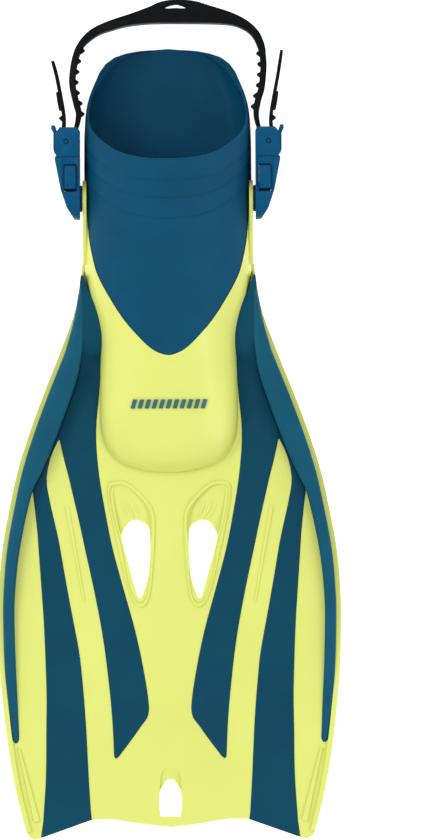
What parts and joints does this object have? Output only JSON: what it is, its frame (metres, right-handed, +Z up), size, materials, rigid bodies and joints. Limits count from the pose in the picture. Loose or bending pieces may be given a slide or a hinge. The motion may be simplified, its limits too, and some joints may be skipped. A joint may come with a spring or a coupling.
{
  "type": "swim fin",
  "caption": "Open-heel swim fin with a flared vented blade, soft foot pocket and a swivelling heel strap with ratchet quick-release buckles.",
  "frame": {"origin": "middle of the footprint of fin and strap loop together, on the ground under the sole", "axes": "+Y from the tip to the heel, +Z up away from the sole, +X to the wearer's right"},
  "size_m": [0.228, 0.557, 0.0809],
  "materials": {
    "hard_yellow": "glossy moulded plastic with a fine satin grain",
    "pocket_rubber": "smooth matt moulded rubber",
    "blade_rubber": "satin moulded rubber",
    "strap_rubber": "matt black rubber",
    "buckle_blue": "satin moulded plastic",
    "tab_blue": "satin moulded plastic",
    "pin_steel": "drawn stainless steel"
  },
  "bodies": {
    "fin": {"blade": "hard_yellow", "toe_frame": "hard_yellow", "foot_pocket": "pocket_rubber", "foot_plate": "hard_yellow", "left_side_arm": "hard_yellow", "right_side_arm": "hard_yellow", "left_rail": "blade_rubber", "right_rail": "blade_rubber", "left_blade_inlay": "blade_rubber", "right_blade_inlay": "blade_rubber"},
    "strap_unit": {"heel_strap": "strap_rubber", "left_buckle_socket": "buckle_blue", "right_buckle_socket": "buckle_blue", "left_buckle_plug": "buckle_blue", "right_buckle_plug": "buckle_blue", "left_lever_pin": "pin_steel", "right_lever_pin": "pin_steel", "left_roller_pin": "pin_steel", "right_roller_pin": "pin_steel", "left_lever_spring": "pin_steel", "right_lever_spring": "pin_steel"},
    "left_lever": {"left_ratchet_lever": "buckle_blue"},
    "right_lever": {"right_ratchet_lever": "buckle_blue"},
    "left_roller": {"left_strap_roller": "pin_steel"},
    "right_roller": {"right_strap_roller": "pin_steel"},
    "left_upper_tab": {"left_upper_release_tab": "tab_blue"},
    "left_lower_tab": {"left_lower_release_tab": "tab_blue"},
    "right_upper_tab": {"right_upper_release_tab": "tab_blue"},
    "right_lower_tab": {"right_lower_release_tab": "tab_blue"}
  },
  "joints": [
    {"name": "strap_swivel", "type": "hinge", "parent": "fin", "child": "strap_unit", "pos_m": [0, 0.147, 0.036], "axis": [1, 0, 0], "range_deg": [-6, 100]},
    {"name": "left_lever_lift", "type": "hinge", "parent": "strap_unit", "child": "left_lever", "pos_m": [-0.0721, 0.17745, 0.036], "axis": [0, 0, 1], "range_deg": [0, 28], "stiffness_Nm_per_rad": 0.03, "springref_deg": -20.05, "deforming": ["left_lever_spring"]},
    {"name": "right_lever_lift", "type": "hinge", "parent": "strap_unit", "child": "right_lever", "pos_m": [0.0721, 0.17745, 0.036], "axis": [0, 0, -1], "range_deg": [0, 28], "stiffness_Nm_per_rad": 0.03, "springref_deg": -20.05, "deforming": ["right_lever_spring"]},
    {"name": "left_roller_spin", "type": "hinge", "parent": "strap_unit", "child": "left_roller", "pos_m": [-0.0669, 0.1845, 0.036], "axis": [0, 0, 1], "continuous": true},
    {"name": "right_roller_spin", "type": "hinge", "parent": "strap_unit", "child": "right_roller", "pos_m": [0.0669, 0.1845, 0.036], "axis": [0, 0, 1], "continuous": true},
    {"name": "left_upper_tab_press", "type": "hinge", "parent": "strap_unit", "child": "left_upper_tab", "pos_m": [-0.0644, 0.1732, 0.0454], "axis": [1, 0, 0], "range_deg": [0, 5], "stiffness_Nm_per_rad": 0.1, "springref_deg": -2.86},
    {"name": "left_lower_tab_press", "type": "hinge", "parent": "strap_unit", "child": "left_lower_tab", "pos_m": [-0.0644, 0.1732, 0.0266], "axis": [-1, 0, 0], "range_deg": [0, 5], "stiffness_Nm_per_rad": 0.1, "springref_deg": -2.86},
    {"name": "right_upper_tab_press", "type": "hinge", "parent": "strap_unit", "child": "right_upper_tab", "pos_m": [0.0644, 0.1732, 0.0454], "axis": [1, 0, 0], "range_deg": [0, 5], "stiffness_Nm_per_rad": 0.1, "springref_deg": -2.86},
    {"name": "right_lower_tab_press", "type": "hinge", "parent": "strap_unit", "child": "right_lower_tab", "pos_m": [0.0644, 0.1732, 0.0266], "axis": [-1, 0, 0], "range_deg": [0, 5], "stiffness_Nm_per_rad": 0.1, "springref_deg": -2.86}
  ]
}
